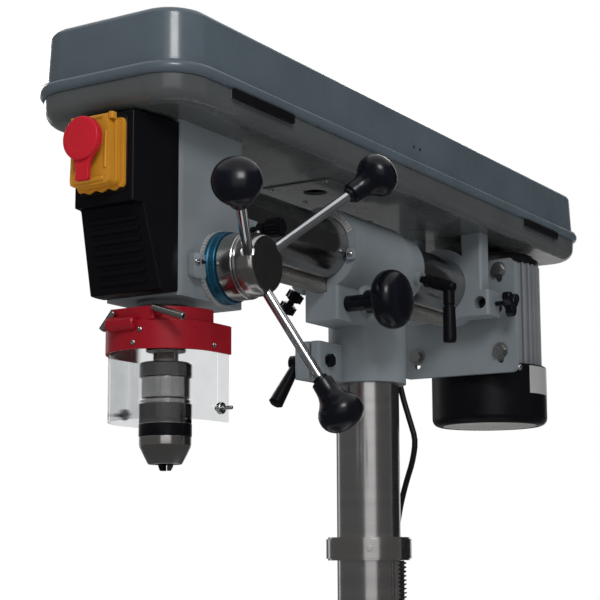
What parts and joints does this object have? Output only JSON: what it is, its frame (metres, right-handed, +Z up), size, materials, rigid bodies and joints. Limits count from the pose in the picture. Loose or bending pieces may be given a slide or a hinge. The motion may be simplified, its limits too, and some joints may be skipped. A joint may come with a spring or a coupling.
{
  "type": "radial drill press",
  "caption": "Bench radial drill: tilting, sliding ram with quill head, feed handles and chuck guard at one end, belt-drive motor at the other, on a round column with table and base.",
  "frame": {"origin": "on the column axis, on the underside of the base", "axes": "+Z up along the column, +Y to the rear along the ram from the drill head to the motor, +X to the side of the feed handles"},
  "size_m": [0.3231, 0.9783, 0.915],
  "materials": {
    "casting": "light grey gloss paint on cast iron",
    "tray_paint": "mid grey semi-gloss paint",
    "guard_paint": "dark grey-green semi-gloss paint",
    "steel": "machined steel",
    "bright": "bright drawn steel tube",
    "chrome": "polished chrome",
    "dark_steel": "black oxide",
    "motor_metal": "silver paint on finned aluminium",
    "black_metal": "black semi-gloss paint",
    "black_plastic": "black, low gloss",
    "cable": "black flexible sheath",
    "belt": "black rubber",
    "red_plastic": "deep red, glossy",
    "yellow_plastic": "warm yellow",
    "green_plastic": "green",
    "blue_scale": "blue anodised ring with a light scale",
    "clear": "clear plastic"
  },
  "bodies": {
    "base": {"base_casting": "casting", "column_flange": "casting", "base_screws": "steel", "column_tube": "steel", "rack_collar": "casting", "mains_cord": "cable", "cord_coil": "cable", "mains_plug": "black_plastic"},
    "table_rack": {"table_rack": "steel"},
    "table_bracket": {"table_bracket": "casting"},
    "table_gear": {"table_gear": "steel"},
    "table_crank": {"table_crank": "steel"},
    "crank_grip": {"crank_grip": "black_plastic"},
    "table_lock": {"table_lock_lever": "steel"},
    "table": {"table_plate": "casting"},
    "arm": {"arm_bracket": "casting", "cord_gland": "black_plastic"},
    "arm_clamp": {"arm_clamp_lever": "black_plastic"},
    "star": {"star_screw": "black_plastic"},
    "ram_lock": {"ram_lock_lever": "black_plastic"},
    "ram_wheel": {"ram_pinion": "steel", "ram_knob": "black_plastic"},
    "ram_rack": {"ram_rack": "steel"},
    "ram": {"ram_tube": "bright", "head_casting": "casting", "head_cover": "black_plastic", "spring_cap": "black_plastic", "tail_bracket": "casting", "belt_tray": "tray_paint", "lid_hinges": "black_metal", "switch_housing": "yellow_plastic", "v_belt": "belt"},
    "head_clamp": {"head_clamp_screw": "black_plastic"},
    "belt_lid": {"belt_lid": "guard_paint"},
    "motor_carriage": {"motor_plate": "casting", "motor_bolts": "chrome", "motor_housing": "motor_metal", "motor_end_shield": "black_metal", "motor_fan_cover": "black_plastic", "slide_rods": "dark_steel"},
    "motor_rotor": {"motor_rotor": "steel", "motor_pulley": "motor_metal"},
    "tension_screw": {"tension_screw": "black_plastic"},
    "spindle_pulley": {"spindle_pulley": "motor_metal"},
    "feed": {"feed_shaft": "steel", "feed_hub": "chrome", "feed_spokes": "chrome", "feed_knobs": "black_plastic"},
    "depth_ring": {"depth_ring": "blue_scale"},
    "quill": {"quill": "steel", "guard_collar": "red_plastic"},
    "guard": {"guard_hood": "red_plastic"},
    "shield": {"chuck_shield": "clear"},
    "spindle": {"spindle": "steel", "chuck_body": "steel", "chuck_jaws": "dark_steel"},
    "chuck_sleeve": {"chuck_sleeve": "dark_steel"},
    "switch_flap": {"switch_flap": "yellow_plastic"},
    "stop_button": {"stop_button": "red_plastic"},
    "start_button": {"start_button": "green_plastic"}
  },
  "joints": [
    {"name": "table_swing", "type": "hinge", "parent": "base", "child": "table_rack", "pos_m": [0, 0, 0.24], "axis": [0, 0, 1], "range_deg": [-60, 45]},
    {"name": "table_slide", "type": "slide", "parent": "table_rack", "child": "table_bracket", "axis": [0, 0, 1], "range_m": [-0.08, 0.09]},
    {"name": "table_gear_turn", "type": "hinge", "parent": "table_bracket", "child": "table_gear", "pos_m": [0.05195, 0, 0.188], "axis": [0, 1, 0], "range_deg": [-574, 510]},
    {"name": "table_crank_turn", "type": "hinge", "parent": "table_bracket", "child": "table_crank", "pos_m": [0.076, 0, 0.1695], "axis": [1, 0, 0], "range_deg": [-6120, 6880]},
    {"name": "crank_grip_spin", "type": "hinge", "parent": "table_crank", "child": "crank_grip", "pos_m": [0.104, 0, 0.1195], "axis": [1, 0, 0], "continuous": true},
    {"name": "table_lock_turn", "type": "hinge", "parent": "table_bracket", "child": "table_lock", "pos_m": [-0.062, 0, 0.185], "axis": [0, 1, 0], "range_deg": [0, 100]},
    {"name": "table_tilt", "type": "hinge", "parent": "table_bracket", "child": "table", "pos_m": [0, -0.078, 0.205], "axis": [0, 1, 0], "range_deg": [-45, 45]},
    {"name": "arm_swing", "type": "hinge", "parent": "base", "child": "arm", "pos_m": [0, 0, 0.66], "axis": [0, 0, 1], "range_deg": [-90, 90]},
    {"name": "arm_clamp_turn", "type": "hinge", "parent": "arm", "child": "arm_clamp", "pos_m": [-0.049, -0.075, 0.638], "axis": [1, 0, 0], "range_deg": [-30, 90]},
    {"name": "star_screw_turn", "type": "hinge", "parent": "arm", "child": "star", "pos_m": [-0.03776, -0.094, 0.71437], "axis": [-0.6293, 0, -0.7771], "range_deg": [-180, 540]},
    {"name": "ram_lock_turn", "type": "hinge", "parent": "arm", "child": "ram_lock", "pos_m": [0.05673, 0.049, 0.74147], "axis": [0.9455, 0, -0.3256], "range_deg": [-75, 15]},
    {"name": "ram_slide", "type": "slide", "parent": "arm", "child": "ram_rack", "axis": [0, 1, 0], "range_m": [-0.12, 0.17]},
    {"name": "ram_wheel_turn", "type": "hinge", "parent": "arm", "child": "ram_wheel", "pos_m": [0.06, -0.082, 0.6991], "axis": [1, 0, 0], "range_deg": [-722, 510]},
    {"name": "ram_tilt", "type": "hinge", "parent": "ram_rack", "child": "ram", "pos_m": [0, 0, 0.761], "axis": [0, 1, 0], "range_deg": [-45, 45]},
    {"name": "head_clamp_turn", "type": "hinge", "parent": "ram", "child": "head_clamp", "pos_m": [0.06, -0.312, 0.738], "axis": [1, 0, 0], "range_deg": [-180, 540]},
    {"name": "belt_lid_open", "type": "hinge", "parent": "ram", "child": "belt_lid", "pos_m": [0.0965, 0, 0.85], "axis": [0, 1, 0], "range_deg": [0, 75]},
    {"name": "motor_tension", "type": "slide", "parent": "ram", "child": "motor_carriage", "axis": [0, 1, 0], "range_m": [-0.012, 0.008], "deforming": ["v_belt"]},
    {"name": "motor_spin", "type": "hinge", "parent": "motor_carriage", "child": "motor_rotor", "pos_m": [0, 0.331, 0.74], "axis": [0, 0, 1], "continuous": true},
    {"name": "tension_screw_turn", "type": "hinge", "parent": "ram", "child": "tension_screw", "pos_m": [0.08, 0.212, 0.736], "axis": [1, 0, 0], "range_deg": [-180, 540]},
    {"name": "spindle_pulley_spin", "type": "hinge", "parent": "ram", "child": "spindle_pulley", "pos_m": [0, -0.388, 0.81], "axis": [0, 0, 1], "continuous": true},
    {"name": "quill_feed", "type": "slide", "parent": "ram", "child": "quill", "axis": [0, 0, -1], "range_m": [0, 0.08], "stiffness_N_per_m": 250, "springref_m": -0.24},
    {"name": "feed_turn", "type": "hinge", "parent": "ram", "child": "feed", "pos_m": [0.05, -0.3605, 0.692], "axis": [1, 0, 0], "range_deg": [0, 459]},
    {"name": "depth_ring_turn", "type": "hinge", "parent": "ram", "child": "depth_ring", "pos_m": [0.05, -0.3605, 0.692], "axis": [1, 0, 0], "range_deg": [-90, 90]},
    {"name": "spindle_spin", "type": "hinge", "parent": "quill", "child": "spindle", "pos_m": [0, -0.388, 0.65], "axis": [0, 0, 1], "continuous": true},
    {"name": "chuck_sleeve_turn", "type": "hinge", "parent": "spindle", "child": "chuck_sleeve", "pos_m": [0, -0.388, 0.55], "axis": [0, 0, 1], "range_deg": [-720, 180]},
    {"name": "guard_flip", "type": "hinge", "parent": "quill", "child": "guard", "pos_m": [0, -0.436, 0.641], "axis": [-1, 0, 0], "range_deg": [0, 85]},
    {"name": "shield_slide", "type": "slide", "parent": "guard", "child": "shield", "axis": [0, 0, 1], "range_m": [-0.015, 0]},
    {"name": "switch_flap_open", "type": "hinge", "parent": "ram", "child": "switch_flap", "pos_m": [0, -0.5005, 0.814], "axis": [-1, 0, 0], "range_deg": [0, 100]},
    {"name": "stop_press", "type": "slide", "parent": "switch_flap", "child": "stop_button", "axis": [0, 1, 0], "range_m": [0, 0.003], "stiffness_N_per_m": 400, "springref_m": -0.002},
    {"name": "start_press", "type": "slide", "parent": "ram", "child": "start_button", "axis": [0, 1, 0], "range_m": [0, 0.003], "stiffness_N_per_m": 300, "springref_m": -0.002}
  ],
  "couplings": [
    {"joint": "table_gear_turn", "follows": "table_slide", "rad_per_m": -111.11},
    {"joint": "table_crank_turn", "follows": "table_slide", "rad_per_m": 1333.3},
    {"joint": "ram_wheel_turn", "follows": "ram_slide", "rad_per_m": -74.074},
    {"joint": "feed_turn", "follows": "quill_feed", "rad_per_m": 100},
    {"joint": "spindle_spin", "follows": "motor_spin", "ratio": 1},
    {"joint": "spindle_pulley_spin", "follows": "motor_spin", "ratio": 1}
  ]
}
